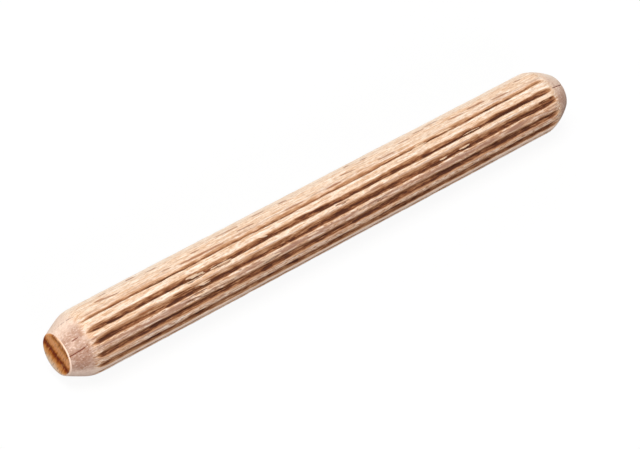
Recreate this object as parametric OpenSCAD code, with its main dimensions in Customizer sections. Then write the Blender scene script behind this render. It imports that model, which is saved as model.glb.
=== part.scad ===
// Fluted wooden dowel pin, lying along X as it comes to rest on a flat surface.
// Millimetres, +Z up. The origin is on the pin's axis, half way between its two end faces.
// The -X end has a straight chamfer, and the +X end a longer, slightly crowned one.

/* [Pin] */
// Length between the two end faces
pin_length = 76; // [50:1:110]
// Diameter over the lands between the flutes
pin_d = 8; // [7:0.1:9]

/* [Flutes] */
// Number of straight flutes round the pin
flute_count = 17; // [13:1:19]
// Depth of a flute below the lands
flute_depth = 0.28; // [0.2:0.01:0.3]
// Width of a flute's mouth, over its eased corners
flute_mouth = 0.72; // [0.68:0.01:0.75]
// Radius of a flute's rounded floor
flute_round = 0.3; // [0.3:0.01:0.33]
// Depth of the eased corner on each side of a flute's mouth
flute_ease = 0.08; // [0.04:0.01:0.1]

/* [Ends] */
// Diameter of the straight end's face
straight_face_d = 5.1; // [4:0.1:5.8]
// Length of the straight chamfer
straight_chamfer = 2.9; // [2:0.1:4]
// Diameter of the crowned end's face
crowned_face_d = 5; // [4.6:0.1:5.8]
// Length of the crowned chamfer
crowned_chamfer = 3.4; // [3:0.1:4.4]
// Rise of the crown above a straight cone
crown_rise = 0.22; // [0.1:0.01:0.3]
// Width of the broken edge round each end face
edge_break = 0.1; // [0.05:0.01:0.2]

/* [Splits] */
// Width of a drying split where it opens on an end's edge
split_w = 0.14; // [0.06:0.01:0.2]
// Depth of a split at that edge
split_depth = 0.35; // [0.2:0.01:0.5]
// Length of the split in the straight chamfer
straight_split = 2.5; // [1:0.1:2.9]
// Where that split starts, in degrees round from the top
straight_split_at = -62; // [-90:1:0]
// How far that split leans across the grain, in degrees
straight_split_lean = 14; // [0:1:20]

/* [Hidden] */
$fn = 180;
pin_r = pin_d / 2;
flute_pitch = 360 / flute_count;
beech = [0.88, 0.72, 0.56];
// The cutters reach this far past the surface that they cut
over = 0.5;
// Where the mouth's edges lie on the pin's surface, and how wide the round is below the corners
mouth_y = sqrt(pin_r ^ 2 - (flute_mouth / 2) ^ 2);
round_y = pin_r - flute_depth + flute_round;
round_half = sqrt(flute_round ^ 2 - (round_y - pin_r + flute_ease) ^ 2);
top_z = pin_length / 2;
crown_start = top_z - crowned_chamfer;
// The crown is an arc over the chord from the body's edge to the face's broken edge
chord_r = pin_r - crowned_face_d / 2;
chord_z = crowned_chamfer - edge_break;
chord = norm([chord_r, chord_z]);
crown_r = chord ^ 2 / (8 * crown_rise) + crown_rise / 2;
crown_shift = crown_r - crown_rise;

// Places a cutter at an angle round the standing pin; 0 faces up once the pin lies down
module at_angle(angle) {
    rotate([0, 0, 180 - angle]) children();
}

// Half section of the crowned end: a blunt outline trimmed by the crown's arc
module crowned_section() {
    intersection() {
        polygon([
            [0, crown_start],
            [pin_r, crown_start],
            [pin_r, top_z - edge_break - chord_r],
            [crowned_face_d / 2 - edge_break, top_z],
            [0, top_z]
        ]);
        translate([pin_r - chord_r / 2 - crown_shift * chord_z / chord,
                   crown_start + chord_z / 2 - crown_shift * chord_r / chord])
            circle(r = crown_r);
    }
}

// Half section of the straight end and the body
module body_section() {
    polygon([
        [0, -top_z],
        [straight_face_d / 2 - edge_break, -top_z],
        [straight_face_d / 2, -top_z + edge_break],
        [pin_r, -top_z + straight_chamfer],
        [pin_r, crown_start],
        [0, crown_start]
    ]);
}

// One flute's section, at the pin's radius on the X axis: a rounded floor between two eased
// corners, which cross the surface at the mouth's edges
module flute_section() {
    low_x = pin_r - flute_ease;
    high_x = pin_r + over;
    high_half = round_half + (flute_mouth / 2 - round_half) * (high_x - low_x) / (mouth_y - low_x);
    translate([round_y, 0])
        circle(r = flute_round);
    polygon([
        [low_x, -round_half],
        [low_x, round_half],
        [high_x, high_half],
        [high_x, -high_half]
    ]);
}

// Every flute runs from end to end, so it dies away by itself on the two chamfers
module flutes() {
    for (i = [0 : flute_count - 1])
        rotate([0, 0, i * flute_pitch])
            linear_extrude(height = pin_length + 2 * over, center = true)
                flute_section();
}

// A split that opens on the edge of the lower end's face, follows the chamfer's slope, leans to
// one side and closes at its far end
module split(face_r, slope, lean, run) {
    closing = atan(split_depth / run);
    mouth = split_w * (1 + over / split_depth);
    translate([face_r, 0, -top_z])
        rotate([lean, slope + closing, 0])
            translate([0, 0, -over])
                linear_extrude(height = run + 2 * over)
                    polygon([[-split_depth, 0], [over, -mouth / 2], [over, mouth / 2]]);
}

// The split in the straight chamfer
module straight_end_split() {
    slope = atan((pin_r - straight_face_d / 2) / straight_chamfer);
    at_angle(straight_split_at)
        split(straight_face_d / 2, slope, straight_split_lean, straight_split);
}

// The split in the crowned chamfer: it carries on the line of the second flute from the top
module crowned_end_split() {
    mirror([0, 0, 1])
        at_angle(-1.5 * flute_pitch)
            split(crowned_face_d / 2, atan(chord_r / chord_z), 0, chord);
}

module dowel_pin() {
    color(beech)
        rotate([0, 90, 0])
            difference() {
                rotate_extrude() {
                    body_section();
                    crowned_section();
                }
                flutes();
                straight_end_split();
                crowned_end_split();
            }
}

dowel_pin();
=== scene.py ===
import math
from types import SimpleNamespace

import bmesh
import bpy
import numpy as np
from mathutils import Matrix, Vector


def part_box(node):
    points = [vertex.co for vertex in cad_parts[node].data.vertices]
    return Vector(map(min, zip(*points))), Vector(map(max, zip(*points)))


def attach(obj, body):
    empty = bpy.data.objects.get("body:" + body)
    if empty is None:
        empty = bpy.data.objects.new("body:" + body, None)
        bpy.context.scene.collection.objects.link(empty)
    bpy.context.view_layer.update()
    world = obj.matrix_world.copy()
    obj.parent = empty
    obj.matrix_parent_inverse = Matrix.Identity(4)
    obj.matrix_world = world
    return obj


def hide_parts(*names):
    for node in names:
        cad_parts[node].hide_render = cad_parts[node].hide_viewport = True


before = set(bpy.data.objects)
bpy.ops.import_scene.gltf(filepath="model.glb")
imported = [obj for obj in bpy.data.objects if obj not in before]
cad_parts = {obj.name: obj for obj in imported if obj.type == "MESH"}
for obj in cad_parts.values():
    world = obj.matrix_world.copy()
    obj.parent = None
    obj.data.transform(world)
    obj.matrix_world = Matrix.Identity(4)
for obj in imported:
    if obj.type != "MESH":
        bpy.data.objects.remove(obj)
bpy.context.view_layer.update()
mm = 0.001

# Angles round the pin are in degrees from the top, positive towards +Y.
# Lengths are in millimetres unless a note says metres, and x runs along the pin from its middle.

pin = {
    "faceRadius": {"straight": 2.6, "crowned": 2.5},
    "chamfer": {"straight": 2.9, "crowned": 3.4},
    "crownRise": 0.22,
    "edgeBreak": 0.1,
    "shoulder": 0.32,      # rounding cuts back the straight chamfer's corner by half of this
    "fluteCount": 17,
    "bodyRings": 264,
    "chamferRings": 26,
    "faceRings": 14,
}

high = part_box("dowel_pin")[1]
pinRadius = high.z / mm
pinEnd = high.x / mm
flutePitch = 360 / pin["fluteCount"]
# where the vertices of a ring lie, in degrees from a flute's middle to the next crest
ringAngles = [0, 0.9, 1.8, 2.7, 3.7, 4.9, 6.4, 8.3, flutePitch / 2]
stepsPerFlute = 2 * (len(ringAngles) - 1)
tiny = 0.001               # two places nearer than this are one


def crownRadius(t):
    # the crowned chamfer, t from 0 at the body to 1 at the face: an arc over the straight cone
    drop = pinRadius - pin["faceRadius"]["crowned"]
    return pinRadius - drop * t + 4 * pin["crownRise"] * t * (1 - t)


def shoulderRadius(x):
    # the straight chamfer and the body near it, with the corner between them rounded
    slope = (pinRadius - pin["faceRadius"]["straight"]) / (pin["chamfer"]["straight"] - pin["edgeBreak"])
    drop = slope * (pin["chamfer"]["straight"] - pinEnd - x)
    return pinRadius - (drop + math.hypot(drop, pin["shoulder"])) / 2


def halfOutline(bm):
    # one line of vertices from the centre of the straight face to the centre of the crowned one
    straight, crowned = pin["faceRadius"]["straight"], pin["faceRadius"]["crowned"]
    edge = pin["edgeBreak"]
    # each corner's x and radius, and the number of rings up to the next corner
    corners = [
        (-pinEnd, 0, pin["faceRings"]),
        (-pinEnd, straight - edge, 2),
        (-pinEnd + edge, straight, pin["chamferRings"]),
        (-pinEnd + pin["chamfer"]["straight"], pinRadius, pin["bodyRings"]),
        (pinEnd - pin["chamfer"]["crowned"], pinRadius, pin["chamferRings"]),
        (pinEnd - edge, crowned, 2),
        (pinEnd, crowned - edge, pin["faceRings"]),
        (pinEnd, 0, 0),
    ]
    for here, there in zip(corners, corners[1:]):
        ends = [bm.verts.new((x * mm, 0, r * mm)) for x, r, _ in (here, there)]
        bmesh.ops.subdivide_edges(bm, edges=[bm.edges.new(ends)], cuts=here[2] - 1)
    bmesh.ops.remove_doubles(bm, verts=bm.verts[:], dist=tiny * mm)


def turnedBlank():
    bm = bmesh.new()
    halfOutline(bm)
    crown = pin["chamfer"]["crowned"]
    for v in bm.verts:
        x = v.co.x / mm
        t = (x - pinEnd + crown) / (crown - pin["edgeBreak"])
        if 0 < t < 1:
            v.co.z = crownRadius(t) * mm
        elif pin["edgeBreak"] - pinEnd < x < 0:
            v.co.z = shoulderRadius(x) * mm
    bmesh.ops.spin(bm, geom=bm.verts[:] + bm.edges[:], cent=(0, 0, 0), axis=(1, 0, 0), dvec=(0, 0, 0),
                   angle=math.tau, steps=stepsPerFlute * pin["fluteCount"], use_merge=True,
                   use_duplicate=False)
    centres = [v for v in bm.verts if math.hypot(v.co.y, v.co.z) < tiny * mm]
    bmesh.ops.remove_doubles(bm, verts=centres, dist=10 * tiny * mm)
    bmesh.ops.recalc_face_normals(bm, faces=bm.faces[:])
    return bm


def smoothStep(a, b, value):
    t = np.clip((value - a) / (b - a), 0, 1)
    return t * t * (3 - 2 * t)


def ripple(x, length, seed):
    # a smooth random line along x, from -1 to 1, with one bend for each given length
    knots = np.random.default_rng(seed).uniform(-1, 1, int(2 * pinEnd / length) + 4)
    place = (x + pinEnd) / length + 1
    left = np.floor(place).astype(int)
    t = smoothStep(0, 1, place - left)
    return knots[left] * (1 - t) + knots[left + 1] * t


def waves(x, kinds, seed):
    # several such lines added up: each kind has a length, a height and a first seed
    return sum(height * ripple(x, length, first + seed) for length, height, first in kinds)


def grid(x, angle, length, width, seed):
    # a smooth random field over the surface, from -1 to 1, with cells of a length and a width in degrees
    columns = int(2 * pinEnd / length) + 4
    rows = round(360 / width)
    knots = np.random.default_rng(seed).uniform(-1, 1, (rows, columns))
    u = (x + pinEnd) / length + 1
    v = (angle % 360) / 360 * rows
    left = np.floor(u).astype(int)
    under = np.floor(v).astype(int)
    u = smoothStep(0, 1, u - left)
    v = smoothStep(0, 1, v - under)
    under = under % rows
    over = (under + 1) % rows
    near = knots[under, left] * (1 - v) + knots[over, left] * v
    far = knots[under, left + 1] * (1 - v) + knots[over, left + 1] * v
    return near * (1 - u) + far * u


flute = {
    "depth": 0.3,          # at the deepest line of a flute
    "squareness": 2.3,     # 2 is a soft hollow, 4 a flat floor with steep walls
    "wander": 1.6,         # how far a flute strays sideways, in degrees
    "uneven": 0.2,         # how much its depth changes along the pin
    "tipWidth": 0.4,       # how wide its tips are, as a share of its full width
    "pressedTo": 8.6,      # past this many degrees from its middle the depth fades towards the crest
    "rubbedAndShadedTo": 9.9,       # and past this many, the burnishing and painted shade
    "rubbedAndShadedFade": 0.9,     # how many widths of its lower side the burnishing and painted shade there take to fade
    # waves along a flute: length, height and first seed
    "strayWaves": [(6, 0.5, 100), (2.2, 0.3, 200), (0.9, 0.3, 250)],
    "depthWaves": [(5, 0.55, 300), (1.3, 0.45, 400)],
    "widthWaves": [(4, 0.16, 500)],
    "rubbingAndShadeWaves": [(3, 0.07, 600), (1, 0.08, 650)],
    # for each flute the shift of its deepest line, the widths of its upper and lower side, in degrees, how
    # deep it is, how dark its burnishing and painted shade are, darkest on flutes turned from the light, and
    # how many widths of its lower side they reach
    "usual": (0, 4.4, 4.4, 1, 0.6, 1.4),
    # flutes unlike the rest: -1 is the first one from the top towards -Y, 0 the first one towards +Y
    "own": {
        -6: (-1.8, 3.2, 4.0, 0.6, 0.66, 1.4),
        -5: (-2.8, 5.2, 6.2, 0.85, 0.74, 1.5),
        -4: (-1.0, 4.9, 5.2, 0.85, 0.9, 1.62),
        -3: (-0.9, 7.7, 2.3, 0.9, 0.98, 1.4),
        -2: (-0.4, 5.1, 2.0, 0.95, 1.02, 1.32),
        -1: (0.7, 4.1, 2.2, 0.75, 0.64, 1.4),
        0: (0, 4, 4, 0.2, 0.12, 1.4),
        1: (0, 4, 4, 0.2, 0.12, 1.4),
        2: (0, 4.4, 4.4, 0.5, 0.4, 1.4),
    },
    # between which distances from the pin's middle a flute fades out, on each chamfer
    "runOut": {"straight": (36.3, 34.0), "crowned": (36.7, 33.8)},
    # the burnishing and painted shade fade to this share between two distances from the pin's middle
    "rubbedAndShadedAtEnds": 0.6,
    "rubbedAndShadedUntil": (36, 34.2),
    # darker bands along the lands, mostly painted shade where the lower lands turn from the light: middle
    # angle, reach in degrees, how much
    "shadedLands": [
        (-1.5, 4.0, 0.36), (-19.5, 4.5, 0.18), (-44, 1.8, 1.2), (-62.8, 5.4, 0.72), (-80.5, 3.4, 1.0),
    ],
    "shadedLandsUntil": (36, 34.5),
}


def pressOne(k, x, offset):
    # one flute's depth, 0 to about 1, and its burnishing with painted shade, at vertices that lie at an
    # offset from its middle
    shift, above, below, pressed, rubbingAndShade, past = flute["own"].get(k, flute["usual"])
    seed = k % pin["fluteCount"]
    across = offset * (1 if k < 0 else -1)     # positive towards the top
    onCrest = smoothStep(flute["pressedTo"], flutePitch / 2, np.abs(across))
    stray = flute["wander"] * waves(x, flute["strayWaves"], seed)
    # the middle of a flute strays and the crests hardly do
    across = across - shift - stray * np.clip(1.3 - np.abs(across) / 8, 0, 1)
    tip = smoothStep(*flute["runOut"]["straight"], -x) * smoothStep(*flute["runOut"]["crowned"], x)
    side = np.where(across > 0, above, below) * (1 + waves(x, flute["widthWaves"], seed))
    side *= flute["tipWidth"] + (1 - flute["tipWidth"]) * tip
    reach = np.abs(across) / side
    share = np.exp(-reach ** flute["squareness"])
    share = share * (1 + flute["uneven"] * waves(x, flute["depthWaves"], seed)) * (1 - onCrest)
    depth = pressed * share * smoothStep(0, 0.5, tip)
    # the burnishing and painted shade fade in two steps on a flute's upper side and over their own reach on
    # the lower side
    gentle = 0.5 * smoothStep(1.65, 1.15, reach) + 0.5 * smoothStep(1.2, 0.1, reach)
    rubbedAndShaded = np.where(across > 0, gentle, smoothStep(past, past - flute["rubbedAndShadedFade"], reach))
    rubbedAndShaded *= smoothStep(flutePitch / 2, flute["rubbedAndShadedTo"], np.abs(offset))
    rubbedAndShaded *= 1 + waves(x, flute["rubbingAndShadeWaves"], seed)
    return depth, rubbingAndShade * rubbedAndShaded * tip


def pressFlutes(x, angle):
    # the angles of the vertices once they crowd into the flutes, each one's depth there and its burnishing
    # with painted shade
    number = np.round(angle / flutePitch - 0.5)
    middle = (number + 0.5) * flutePitch
    step = (angle - middle) / flutePitch * stepsPerFlute
    offset = np.sign(step) * np.interp(np.abs(step), np.arange(len(ringAngles)), ringAngles)
    depth = np.zeros_like(x)
    burnishAndShade = np.zeros_like(x)
    for k in np.unique(number).astype(int).tolist():
        on = number == k
        depth[on], burnishAndShade[on] = pressOne(k, x[on], offset[on])
    # the burnishing and painted shade fade towards the chamfers
    ends = flute["rubbedAndShadedAtEnds"]
    burnishAndShade *= ends + (1 - ends) * smoothStep(*flute["rubbedAndShadedUntil"], np.abs(x))
    return middle + offset, depth, burnishAndShade


# darker bands along the lands: mostly painted shade
def landShade(x, angle):
    found = np.zeros_like(x)
    for place, reach, amount in flute["shadedLands"]:
        band = np.exp(-((angle - place) / reach) ** 2)
        found = np.maximum(found, amount * band * (1 + 0.7 * grid(x, angle, 2.2, 1.3, 51)))
    return found * smoothStep(*flute["shadedLandsUntil"], np.abs(x))


# each mark was placed one by one
marks = {
    # brown dashes where the wood's rays end: from and to along x, the angle at each end, the width
    "dashes": [
        (-32.2, -28.8, 14, 8, 0.15), (-31.0, -29.9, 26, 25, 0.11), (-26.9, -25.4, 34, 33, 0.21),
        (-24.4, -22.8, 24, 22, 0.14), (-23.4, -21.8, 5, 4, 0.09), (-21.2, -14.0, 0, -1.5, 0.14),
        (-18.6, -17.2, 12, 11, 0.09), (-14.8, -11.0, 21, 18, 0.11), (-12.2, -9.4, 7, 6, 0.15),
        (-9.0, -7.0, 26, 24, 0.15), (-5.2, -3.8, 22, 21, 0.17), (-5.6, -2.6, -1, -2, 0.12),
        (0.6, 3.2, -1.5, -2, 0.12), (3.6, 6.0, 12, 9, 0.12), (9.0, 12.0, 3, 1, 0.14),
        (5.4, 6.4, 33, 32, 0.15), (7.6, 8.6, 25, 24, 0.15), (12.8, 15.0, 15, 14, 0.09),
        (15.6, 17.6, 22, 20, 0.12), (17.6, 20.0, 27, 25, 0.15), (20.6, 23.4, 11, 8, 0.12),
        (23.8, 26.9, 12, 11, 0.18), (27.2, 30.2, 4, 2, 0.15), (32.0, 33.2, 19, 18, 0.12),
        (-28.8, -26.4, -45, -44.5, 0.08), (0.4, 2.6, -37, -38, 0.09), (5.4, 7.8, -41, -42, 0.14),
    ],
    "unseenDashes": 46,    # more of them, over the back and the underside
    # places where a flute is deeper, and painted darker as shade
    "deeps": [
        (-32.6, -30.4, -32.5, -33, 0.2), (-2.4, 0.2, -27.5, -30.5, 0.22), (-5.4, -1.6, -25.5, -28, 0.1),
        (24.6, 30.3, -30.5, -30.5, 0.2), (21.2, 22.8, -42.5, -42, 0.12), (32.6, 33.8, -46, -45.5, 0.16),
        (34.3, 35.5, -46, -45.5, 0.16), (-28.6, -26.2, -95, -98, 0.2), (-22.6, -19.8, -92, -96, 0.24),
        (-8.2, -6.0, -94, -101, 0.24), (7.6, 10.4, -91, -94, 0.22), (-24.0, -21.0, -43, -44, 0.12),
        (-11.7, -10.0, -79, -79, 0.16), (1.8, 3.0, -79, -80, 0.14), (-28.0, -24.0, -74, -74, 0.15),
        (15.0, 19.5, -75, -76, 0.2), (25.0, 30.0, -10, -11, 0.12), (-9.0, -6.0, -11, -12, 0.12),
    ],
    # places where the rollers tore the fibres: from and to along x, the middle angle, the reach in degrees
    "tears": [
        (-22.4, -18.4, -31, 8), (-18.4, -14.4, -33, 6), (-22.0, -17.4, -53, 7), (-27.5, -21.0, -10, 5),
        (13.0, 21.5, -9, 6), (19.0, 24.0, -30, 6), (-0.2, 2.6, -37.5, 3), (-24.0, -14.0, -64, 7),
        (2.0, 9.0, -63, 6), (32.6, 35.6, -43, 3), (-12.5, -8.0, -64, 5),
    ],
    # lifted fibres, light over a gap painted dark as their shadow: as a dash, then how far the middle bows
    # away from the top
    "slivers": [
        (16.2, 17.5, -50.8, -50.0, 0.1, 2.2), (19.4, 21.2, -50.6, -49.4, 0.1, 1.8),
        (-21.4, -18.8, -28.6, -30.4, 0.1, 0.3), (-21.0, -18.6, -31.8, -33.2, 0.1, -0.4),
        (-18.0, -14.9, -32.4, -33.2, 0.1, 0.4), (-10.6, -9.3, -24, -27.5, 0.09, 0.2),
        (-20.3, -18.4, -48.4, -49.6, 0.1, 0.8), (13.6, 16.2, -11.4, -10.2, 0.1, 0.3),
        (-20.6, -18.4, -66.4, -67.6, 0.1, 0.4), (35.0, 36.0, -81, -85, 0.1, 0),
        (19.4, 21.0, -85, -85.6, 0.1, 0), (-17.6, -14.2, -83, -84.4, 0.1, 0.6),
        (-4.6, -3.0, -61.4, -62, 0.1, 0),
    ],
    "gapBelow": 1.9,       # how far below a sliver its gap lies, in degrees
    # drying splits in the chamfers, and one faint line
    "splits": [
        (-38.3, -35.6, -61, -49, 0.06), (-37.1, -36.1, -29.5, -28.5, 0.05), (35.4, 38.3, -31, -30, 0.055),
    ],
    "faint": [(-37.6, -35.0, 28, 7, 0.11)],
}


def line(x, angle, radius, mark, seed):
    # one mark's strength, 0 to 1: it wavers a little and swells from its ends to its middle
    start, end, first, last, width, *bow = mark            # only slivers have a bow
    t = (x - start) / (end - start)
    swell = np.clip(4 * t * (1 - t), 0, 1)
    across = np.radians(angle - first - (last - first) * t + sum(bow) * swell) * radius
    across = across + 0.025 * ripple(x, 1.6, seed)
    return np.exp(-(across / (width * (0.25 + 0.85 * np.sqrt(swell)))) ** 2) * smoothStep(0, 0.4, swell)


def mostOf(kind, x, angle, radius, seed):
    found = np.zeros_like(x)
    for k, mark in enumerate(kind):
        found = np.maximum(found, line(x, angle, radius, mark, seed + k))
    return found


def unseenDashes():
    random = np.random.default_rng(11)
    made = []
    for _ in range(marks["unseenDashes"]):
        start = random.uniform(-34, 32)
        middle = random.uniform(48, 262)
        made.append((start, start + random.uniform(0.8, 3), middle, middle + random.uniform(-2, 2),
                     random.uniform(0.06, 0.12)))
    return made


def torn(x, angle):
    found = np.zeros_like(x)
    for start, end, middle, reach in marks["tears"]:
        t = (x - start) / (end - start)
        off = (angle - middle + 180) % 360 - 180
        patch = np.exp(-(off / reach) ** 4) * smoothStep(0, 0.3, t) * smoothStep(1, 0.7, t)
        found = np.maximum(found, patch)
    return found


def findMarks(x, angle, radius):
    # how strong each kind of mark is at each vertex, 0 to 1
    sliver = mostOf(marks["slivers"], x, angle, radius, 970)
    below = mostOf(marks["slivers"], x, angle + marks["gapBelow"], radius, 970)
    return SimpleNamespace(
        dash=mostOf(marks["dashes"] + unseenDashes(), x, angle, radius, 700),
        deep=mostOf(marks["deeps"], x, angle, radius, 800),
        split=mostOf(marks["splits"], x, angle, radius, 900),
        faint=mostOf(marks["faint"], x, angle, radius, 950),
        torn=torn(x, angle),
        sliver=sliver,
        gap=np.clip(below * 1.3 - sliver, 0, 1),
    )


# how deep each kind of wear goes
wear = {
    "deep": 0.06,
    "fibre": 0.028,
    "tear": 0.02,
    "tornFibre": 0.1,
    "tornStrand": 0.16,
    "gap": 0.05,
    "split": 0.09,
    "dash": 0.03,
}


def wornRadius(x, angle, blank, depth, found):
    # each vertex's radius, how surely it lies below the turned blank, and the strands that stand out
    fibres = 0.6 * grid(x, angle, 1.6, 2.2, 41) + 0.6 * grid(x, angle, 0.6, 1.4, 42)
    strands = grid(x, angle - 1.5 * ripple(x, 3, 44), 2.6, 1.7, 43)
    fall = flute["depth"] * depth + wear["deep"] * found.deep * smoothStep(0.1, 0.4, depth)
    fall = fall + wear["fibre"] * (fibres + 1)
    rough = wear["tear"] + wear["tornFibre"] * np.abs(fibres) - wear["tornStrand"] * strands
    fall = fall + found.torn * rough
    fall = np.maximum(fall * (1 - 0.5 * found.sliver) + wear["gap"] * found.gap, 0)
    inside = pinRadius - fall
    pressed = smoothStep(0.06, -0.04, inside - blank)
    radius = np.minimum(blank, inside) - wear["split"] * found.split - wear["dash"] * found.dash * pressed
    return radius, pressed, strands


face = {
    "lean": -22,           # the growth layers lie square to this angle
    "relief": 0.07,        # how deep the sawn end grain's roughness goes
    "darkest": -0.3,       # the dark band's middle, measured across the layers
    "bandWidth": 0.45,
    "margin": 0.3,         # the roughness fades over this much inside the face's edge
    "lookFrom": 0.16,      # how near the pin's end the look of end grain starts, and where it is full
    "lookTo": 0.1,
}


def faceRelief(y, z):
    # how far the sawn end grain falls below its edge
    lean = math.radians(face["lean"])
    across = y * math.sin(lean) + z * math.cos(lean)
    along = y * math.cos(lean) - z * math.sin(lean)
    band = np.exp(-((across - face["darkest"]) / face["bandWidth"]) ** 2)
    fibre = grid(20 * np.cos(along * 3.1) + 3 * across, along * 40, 0.7, 4, 31)
    return face["relief"] * (0.35 + 0.5 * band + 0.3 * fibre)


def sawnEnds(x, y, z, radius):
    # x once both end faces have their roughness
    edge = pin["faceRadius"]["straight"] - pin["edgeBreak"]
    relief = faceRelief(y, z) * smoothStep(edge, edge - face["margin"], radius)
    return np.where(np.abs(x) > pinEnd - tiny, x - np.sign(x) * relief, x)


def coarseness(angle, depth):
    # the open pores show most low on the side towards -Y, on the other side and inside the flutes
    coarse = 0.4 + 0.5 * smoothStep(-38, -58, angle) * smoothStep(-104, -96, angle)
    return coarse + 0.5 * smoothStep(45, 75, angle) + 0.4 * depth


def makePin():
    bm = turnedBlank()
    mesh = bpy.data.meshes.new("flutedDowel")
    bm.to_mesh(mesh)
    bm.free()
    place = np.empty(len(mesh.vertices) * 3)
    mesh.vertices.foreach_get("co", place)
    x, y, z = place.reshape(-1, 3).T / mm
    blank = np.hypot(y, z)
    angle, depth, burnishAndShade = pressFlutes(x, np.degrees(np.arctan2(y, z)))
    found = findMarks(x, angle, blank)
    radius, pressed, strands = wornRadius(x, angle, blank, depth, found)
    turned = np.radians(angle)
    y, z = radius * np.sin(turned), radius * np.cos(turned)
    x = sawnEnds(x, y, z, radius)
    mesh.vertices.foreach_set("co", (np.column_stack([x, y, z]) * mm).ravel())
    # what the beech reads at each vertex
    layers = {
        "coarse": coarseness(angle, depth),
        # burnishing with painted shade, darkest on flutes turned from the light
        "burnishAndShade": np.clip(burnishAndShade, 0, 1.2) * pressed,
        "dash": found.dash * np.where(blank > pinRadius - 0.3, 1, 0),
        "deep": np.clip(found.deep * pressed, 0, 1),
        "torn": found.torn,
        # torn strands light where they stand up and dark in the hollows, partly painted highlight and shade;
        # the gap under a sliver is painted shadow
        "strand": found.torn * np.clip(strands, -0.45, 0.6) + 0.9 * found.sliver - 0.5 * found.gap,
        "landShade": landShade(x, angle) * (1 - 0.5 * depth),
        "split": np.maximum(found.split, 0.5 * found.faint),
    }
    for name, values in layers.items():
        mesh.attributes.new(name, "FLOAT", "POINT").data.foreach_set("value", values)
    mesh.shade_smooth()
    piece = bpy.data.objects.new("flutedDowel", mesh)
    bpy.context.scene.collection.objects.link(piece)
    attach(piece, "root")
    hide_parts("dowel_pin")
    print("pin:", len(mesh.vertices), "vertices,", len(mesh.polygons), "faces")
    return piece


class Signal:
    # one socket of a material, with Python's operators standing for Math nodes
    def __init__(self, recipe, socket):
        self.recipe = recipe
        self.socket = socket

    def maths(self, operation, other=0):
        return self.recipe.node("ShaderNodeMath", {"operation": operation}, {0: self, 1: other})

    def under(self, operation, other):
        return self.recipe.node("ShaderNodeMath", {"operation": operation}, {0: other, 1: self})

    def __add__(self, other):
        return self.maths("ADD", other)

    def __radd__(self, other):
        return self.under("ADD", other)

    def __sub__(self, other):
        return self.maths("SUBTRACT", other)

    def __rsub__(self, other):
        return self.under("SUBTRACT", other)

    def __mul__(self, other):
        return self.maths("MULTIPLY", other)

    def __rmul__(self, other):
        return self.under("MULTIPLY", other)


class Recipe:
    # builds the nodes of one material or of the world
    def __init__(self, tree):
        self.tree = tree
        tree.nodes.clear()

    def node(self, kind, settings=None, inputs=None, output=0):
        made = self.tree.nodes.new(kind)
        for name, value in (settings or {}).items():
            setattr(made, name, value)
        for name, value in (inputs or {}).items():
            if isinstance(value, Signal):
                self.tree.links.new(value.socket, made.inputs[name])
            else:
                made.inputs[name].default_value = value
        return Signal(self, made.outputs[output])

    def parts(self, vector):
        first = self.node("ShaderNodeSeparateXYZ", None, {0: vector})
        return [Signal(self, socket) for socket in first.socket.node.outputs]

    def layer(self, name):
        return self.node("ShaderNodeAttribute", {"attribute_name": name}, None, "Fac")

    def noise(self, x, y, z, detail, roughness):
        where = self.node("ShaderNodeCombineXYZ", None, {0: x, 1: y, 2: z})
        return self.node("ShaderNodeTexNoise", None, {
            "Vector": where, "Scale": 1, "Detail": detail, "Roughness": roughness})

    def between(self, value, low, high):
        # 0 up to low, 1 from high on
        return self.node("ShaderNodeMapRange", {"interpolation_type": "SMOOTHSTEP"}, {
            "Value": value, "From Min": low, "From Max": high})

    def blend(self, factor, first, second):
        return self.node("ShaderNodeMix", {"data_type": "RGBA"}, {0: factor, 6: first, 7: second}, 2)

    def tint(self, wood, amount, colour):
        # some of one of the beech's colours over the wood so far
        return self.blend(amount, wood, srgb(*beech[colour]))

    def ramp(self, value, stops):
        made = self.node("ShaderNodeValToRGB", None, {0: value})
        elements = made.socket.node.color_ramp.elements
        for k, (position, colour) in enumerate(stops):
            element = elements[k] if k < 2 else elements.new(position)
            element.position = position
            element.color = srgb(*colour)
        return made

    def finish(self, kind, shader):
        out = self.tree.nodes.new(kind)
        self.tree.links.new(shader.socket, out.inputs["Surface"])


def newMaterial(name):
    material = bpy.data.materials.new(name)
    material.use_nodes = True
    return material


def srgb(red, green, blue):
    # a colour given as it looks on screen, 0 to 255, made linear
    def linear(c):
        c = c / 255
        return c / 12.92 if c <= 0.04045 else ((c + 0.055) / 1.055) ** 2.4
    return (linear(red), linear(green), linear(blue), 1)


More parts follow.
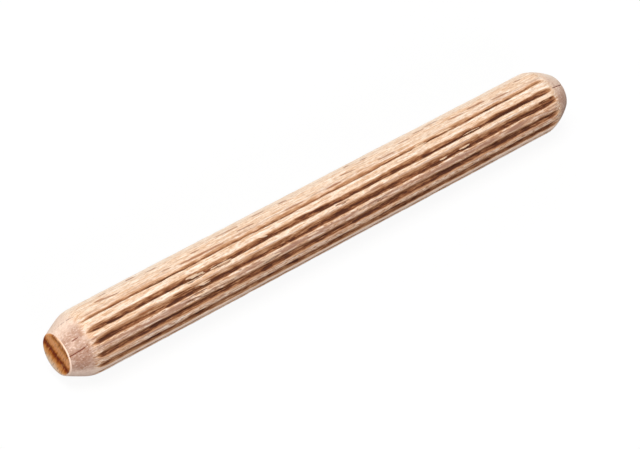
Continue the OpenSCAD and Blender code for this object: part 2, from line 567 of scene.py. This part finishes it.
beech = {
    # colours as they look on screen, 0 to 255
    "pale": (247, 222, 196),
    "warm": (238, 202, 168),
    "light": (255, 242, 226),
    # painted sheen on a strip low on both flanks
    "lowSheen": (255, 230, 208),
    "streak": (212, 163, 120),
    "hair": (224, 180, 140),
    # mostly painted shade on the lands
    "landShade": (166, 124, 102),
    "chamfer": (248, 222, 204),
    # painted shade on the chamfers towards -Y
    "chamferShade": (160, 115, 97),
    "speck": (150, 104, 74),
    # the wood that the rollers burnished, with painted shade in the flutes, from hardly at all to most
    "rubbedAndShaded": [
        (0, (240, 208, 180)), (0.23, (214, 174, 140)), (0.41, (181, 134, 96)), (0.72, (130, 79, 47)),
        (1, (76, 37, 18)),
    ],
    "dash": (150, 92, 54),
    "split": (114, 56, 36),
    "fibreLight": (248, 220, 188),
    "fibreDark": (104, 62, 34),
    # end grain, from one side of the face to the other across the growth layers
    "endGrain": [
        (0.0, (255, 236, 220)), (0.14, (250, 206, 162)), (0.25, (236, 162, 92)), (0.34, (196, 110, 34)),
        (0.4, (134, 50, 4)), (0.48, (120, 42, 2)), (0.55, (200, 116, 48)), (0.62, (238, 164, 104)),
        (0.73, (238, 172, 116)), (0.82, (216, 140, 70)), (0.88, (168, 94, 34)), (1.0, (238, 190, 146)),
    ],
    "endLight": (240, 182, 124),
    "rim": (255, 226, 204),
    # patterns in the wood: how fast each changes along the pin and across it, its detail and roughness
    "patterns": {
        "drift": (0.08, 0.5, 2, 0.5),
        "streaks": (0.25, 2.4, 3, 0.6),
        "fibre": (0.7, 5.5, 3, 0.65),
        "pores": (1.6, 8, 1, 0.5),
        "hairs": (0.14, 4.2, 2, 0.6),
        "specks": (3, 5, 3, 0.7),
        "cloud": (0.5, 0.7, 2, 0.5),
        "thread": (0.4, 6, 2, 0.6),
    },
    "cutFrom": 34.4,       # between these distances from the middle the chamfers' look comes in
    "cutTo": 35.6,
    "roughness": 0.58,
    "specular": 0.24,
    "bump": 0.75,
    "bumpHeight": 0.06,
}


def woodPatterns(recipe):
    # where a point of the wood lies, and the patterns that run through it there
    place = recipe.node("ShaderNodeTexCoord", output="Object")
    sized = recipe.node("ShaderNodeVectorMath", {"operation": "MULTIPLY"}, {0: place, 1: (1 / mm,) * 3})
    x, y, z = recipe.parts(sized)
    lean = math.radians(face["lean"])
    layer = y * math.sin(lean) + z * math.cos(lean)        # square to the growth layers
    along = y * math.cos(lean) - z * math.sin(lean)
    at = SimpleNamespace(x=x, y=y, z=z, layer=layer, along=along, torn=recipe.layer("torn"))
    for name, (length, width, detail, roughness) in beech["patterns"].items():
        setattr(at, name, recipe.noise(x * length, layer * width, along * width, detail, roughness))
    return at


def plainWood(recipe, at):
    # growth layers, streaks along the grain, fine fibres and pores
    ring = recipe.between((at.layer * 0.62 + at.drift * 1.6 + at.x * 0.006).maths("FRACT"), 0.1, 1)
    tone = ring * 0.45 + recipe.between(at.streaks, 0.35, 0.65) * 0.7
    wood = recipe.tint(srgb(*beech["pale"]), tone, "warm")
    wood = recipe.tint(wood, recipe.between(at.hairs, 0.5, 0.64) * 0.75, "hair")
    wood = recipe.tint(wood, recipe.between(at.hairs, 0.46, 0.34) * 0.75, "light")
    coarse = recipe.layer("coarse")
    wood = recipe.tint(wood, recipe.between(at.fibre, 0.47, 0.62) * coarse, "streak")
    wood = recipe.tint(wood, recipe.between(at.fibre, 0.47, 0.34) * 0.6, "light")
    wood = recipe.tint(wood, recipe.between(at.pores, 0.53, 0.66) * coarse * 0.75, "dash")
    wood = recipe.tint(wood, recipe.between(at.pores, 0.44, 0.32) * 0.5, "light")
    # painted sheen: the side towards +Y and a strip low on both flanks are paler
    wood = recipe.tint(wood, recipe.between(at.y, 0.8, 3.2) * 0.55, "light")
    strip = recipe.between(at.z, -0.5, -1) * recipe.between(at.z, -1.9, -1.5)
    return recipe.tint(wood, strip * (at.fibre + 0.35), "lowSheen")


def cutWood(recipe, at, wood):
    # the chamfers cut across the grain: greyer, pinker and more open, with painted shade towards -Y
    crowned = recipe.between(at.x, -1, 1)
    past = recipe.between(at.x.maths("ABSOLUTE") - at.drift * 0.8 - crowned * 0.4,
                          beech["cutFrom"], beech["cutTo"])
    cloud = recipe.between(at.cloud, 0.3, 0.6)
    low = recipe.between(at.z, 0, -1.2)
    # painted shade towards -Y, less at the bottom and on the crowned end
    chamferShade = recipe.between(at.y, 0.9, -1.3) * (0.42 + cloud * 0.42) * (1 - low * 0.9)
    chamferShade = chamferShade + recipe.between(at.y, -1.9, -3) * recipe.between(at.z, -0.6, 0.6) * 0.45
    chamferShade = chamferShade * (1 - crowned * 0.42)
    cut = recipe.tint(srgb(*beech["chamfer"]), chamferShade + cloud * 0.1, "chamferShade")
    cut = recipe.tint(cut, recipe.between(at.specks, 0.5, 0.66) * (chamferShade * 0.5 + 0.2), "speck")
    cut = recipe.tint(cut, recipe.between(at.specks, 0.46, 0.34) * 0.5, "light")
    # painted light: the crowned chamfer is palest on top and towards +Y
    cut = recipe.tint(cut, recipe.between(at.x, 35.4, 37) * recipe.between(at.y, -1.6, 0.6) * 0.7, "light")
    return recipe.blend(past * 0.8, wood, cut)


def wornWood(recipe, at, wood):
    # darker lands that are mostly painted shade, flutes burnished and painted with shade, their deepest
    # stretches painted darker still, dashes, torn fibres partly painted with highlight and shade, splits
    shadedLands = recipe.layer("landShade") * (0.3 + at.fibre * 1.1)
    wood = recipe.tint(wood, recipe.between(shadedLands, 0, 0.8), "landShade")
    # painted shade: the flutes' burnishing layer carries their shade, and the deepest stretches add more
    burnishAndShade = recipe.layer("burnishAndShade") + recipe.layer("deep") * 0.55
    burnishAndShade = burnishAndShade * (at.fibre * 2.3 + at.hairs * 1.2 - 0.8)
    wood = recipe.blend(recipe.between(burnishAndShade, 0.02, 0.3), wood, recipe.ramp(burnishAndShade, beech["rubbedAndShaded"]))
    dash = recipe.between(recipe.layer("dash") + at.fibre * 0.3 - 0.15, 0.05, 0.85)
    wood = recipe.tint(wood, dash * 0.75, "dash")
    # partly painted highlight and shade: torn fibres light where they stand up, dark in hollows and under
    # slivers
    strand = recipe.layer("strand") + at.torn * (at.thread - 0.5) * 2.6
    wood = recipe.tint(wood, recipe.between(strand, 0.15, 0.45) * 0.7, "fibreLight")
    wood = recipe.tint(wood, recipe.between(strand, -0.25, -0.5) * 0.85, "fibreDark")
    split = recipe.between(recipe.layer("split") + at.specks * 0.9 - 0.5, 0.15, 0.75)
    return recipe.tint(wood, split, "split")


def sawnWood(recipe, at, wood):
    # the end faces: growth layers seen end on, short streaks and a pale rim
    tangle = recipe.noise(at.layer * 0.8, at.along * 2.2, 0, 4, 0.6)
    end = recipe.ramp((at.layer + tangle * 1.3 - 0.65) * 0.19 + 0.5, beech["endGrain"])
    streaks = recipe.noise(at.layer * 0.7, at.along * 5, 0, 2, 0.6)
    end = recipe.tint(end, recipe.between(streaks, 0.52, 0.7) * 0.5, "endLight")
    end = recipe.tint(end, recipe.between(streaks, 0.48, 0.32) * 0.5, "split")
    edge = pin["faceRadius"]["straight"]
    radius = (at.y * at.y + at.z * at.z).maths("SQRT")
    rim = recipe.between(radius + at.fibre * 0.1 - (at.y + at.z) * 0.035, edge - pin["edgeBreak"], edge)
    end = recipe.tint(end, rim, "rim")
    onFace = recipe.between(at.x.maths("ABSOLUTE"), pinEnd - face["lookFrom"], pinEnd - face["lookTo"])
    return recipe.blend(onFace, wood, end)


def makeBeech():
    material = newMaterial("beech")
    recipe = Recipe(material.node_tree)
    at = woodPatterns(recipe)
    wood = plainWood(recipe, at)
    for finish in (cutWood, wornWood, sawnWood):
        wood = finish(recipe, at, wood)
    height = at.streaks * 0.4 + at.fibre * 0.5 + at.torn * at.thread * 2
    bump = recipe.node("ShaderNodeBump", None, {
        "Strength": beech["bump"], "Distance": beech["bumpHeight"] * mm, "Height": height})
    shader = recipe.node("ShaderNodeBsdfPrincipled", None, {
        "Base Color": wood, "Roughness": beech["roughness"], "Normal": bump,
        "Specular IOR Level": beech["specular"]})
    recipe.finish("ShaderNodeOutputMaterial", shader)
    print("beech:", len(recipe.tree.nodes), "nodes")
    return material


studio = {
    "floorSize": 1.5,       # half the floor's width, in metres
    "floorShade": 0.08,     # how much of the floor's white takes shadows
    # a strip of floor along the pin glows a little, which the camera doesn't see, and lights the underside
    "glowReach": 22,
    "glowFade": 16,
    "glow": (0.055, 0.055, 0.07, 1),
}


def makePaleFloor():
    material = newMaterial("paleFloor")
    recipe = Recipe(material.node_tree)
    shade = studio["floorShade"]
    place = recipe.node("ShaderNodeTexCoord", output="Object")
    across = recipe.node("ShaderNodeSeparateXYZ", None, {0: place}, "Y").maths("ABSOLUTE")
    far = recipe.between(across * (1 / mm), studio["glowReach"], studio["glowReach"] + studio["glowFade"])
    seen = recipe.node("ShaderNodeLightPath", output="Is Camera Ray")
    strip = recipe.blend(far, studio["glow"], (0, 0, 0, 1))
    glow = recipe.blend(seen, strip, (1 - shade, 1 - shade, 1 - shade, 1))
    surface = recipe.node("ShaderNodeBsdfDiffuse", None, {"Color": (shade, shade, shade, 1)})
    shine = recipe.node("ShaderNodeEmission", None, {"Color": glow, "Strength": 1})
    both = recipe.node("ShaderNodeAddShader", None, {0: surface, 1: shine})
    recipe.finish("ShaderNodeOutputMaterial", both)
    return material


def makeFloor(height):
    bm = bmesh.new()
    bmesh.ops.create_grid(bm, x_segments=1, y_segments=1, size=studio["floorSize"])
    bmesh.ops.translate(bm, verts=bm.verts[:], vec=(0, 0, height))
    mesh = bpy.data.meshes.new("floor")
    bm.to_mesh(mesh)
    bm.free()
    mesh.materials.append(makePaleFloor())
    floor = bpy.data.objects.new("floor", mesh)
    bpy.context.scene.collection.objects.link(floor)
    print("floor: at", round(height / mm, 3), "mm")


view = {
    "azimuth": -43.0,      # the side that the camera looks from; 0 looks along +Y
    "elevation": 41.1,
    "roll": -3.6,
    "distance": 363,
    "lens": 175.4,
    "sensor": 36,
    "target": (-0.2, -0.6, -0.6),
    "clip": (0.01, 10),    # nearest and farthest distance that it sees, in metres
}


def makeCamera():
    around, up = math.radians(view["azimuth"]), math.radians(view["elevation"])
    back = Vector((math.sin(around) * math.cos(up), -math.cos(around) * math.cos(up), math.sin(up)))
    side = Vector((0, 0, 1)).cross(back).normalized()
    top = back.cross(side)
    roll = math.radians(view["roll"])
    head = top * math.cos(roll) + side * math.sin(roll)
    right = head.cross(back)
    data = bpy.data.cameras.new("camera")
    data.lens = view["lens"]
    data.sensor_width = view["sensor"]
    data.clip_start, data.clip_end = view["clip"]
    camera = bpy.data.objects.new("camera", data)
    place = Matrix((right, head, back)).transposed().to_4x4()
    place.translation = (Vector(view["target"]) + back * view["distance"]) * mm
    camera.matrix_world = place
    bpy.context.scene.collection.objects.link(camera)
    bpy.context.scene.camera = camera
    print("camera:", view["distance"], "mm away")


lights = {
    "room": 0.11,          # how brightly the room fills the shadows
    "roomColour": (1, 0.89, 0.79, 1),
    "distance": 0.9,       # of each lamp from the pin, in metres
    # each lamp's power in watts, its size in metres and where it stands, in degrees: side is the angle round
    # the pin, along the lean towards the crowned end
    "lamps": {
        "key": {"power": 6.95, "size": 0.55, "side": -3, "along": -14},
        "back": {"power": 2.7, "size": 0.5, "side": 70, "along": 28},
        "fill": {"power": 4.3, "size": 0.3, "side": -72, "along": -20, "colour": (1, 0.96, 0.98)},
        "end": {"power": 1.7, "size": 0.3, "side": -30, "along": -82},
    },
}


def makeRoom():
    # gloss and the camera see a white room, everything else a dim warm one that fills the shadows
    world = bpy.data.worlds.new("studio")
    world.use_nodes = True
    bpy.context.scene.world = world
    recipe = Recipe(world.node_tree)
    camera = recipe.node("ShaderNodeLightPath", output="Is Camera Ray")
    gloss = recipe.node("ShaderNodeLightPath", output="Is Glossy Ray")
    dim = recipe.node("ShaderNodeBackground", None, {
        "Color": lights["roomColour"], "Strength": lights["room"]})
    white = recipe.node("ShaderNodeBackground", None, {"Color": (1, 1, 1, 1), "Strength": 1})
    either = recipe.node("ShaderNodeMixShader", None, {0: camera.maths("MAXIMUM", gloss), 1: dim, 2: white})
    recipe.finish("ShaderNodeOutputWorld", either)
    print("room: strength", lights["room"])


def makeLamp(name, power, size, side, along, colour=(1, 1, 1)):
    data = bpy.data.lights.new(name, "AREA")
    data.energy = power
    data.size = size
    data.color = colour
    side, along = math.radians(side), math.radians(along)
    towards = Vector((math.sin(along), math.cos(along) * math.sin(side), math.cos(along) * math.cos(side)))
    lamp = bpy.data.objects.new(name, data)
    lamp.location = towards * lights["distance"]
    lamp.rotation_euler = (-towards).to_track_quat("-Z", "Y").to_euler()
    bpy.context.scene.collection.objects.link(lamp)
    print("lamp:", name, power, "W")


bpy.context.scene.view_settings.view_transform = "Standard"
dowel = makePin()
dowel.data.materials.append(makeBeech())
makeFloor(min(v.co.z for v in dowel.data.vertices))        # the pin rests on it
makeCamera()
makeRoom()
for name, lamp in lights["lamps"].items():
    makeLamp(name, **lamp)
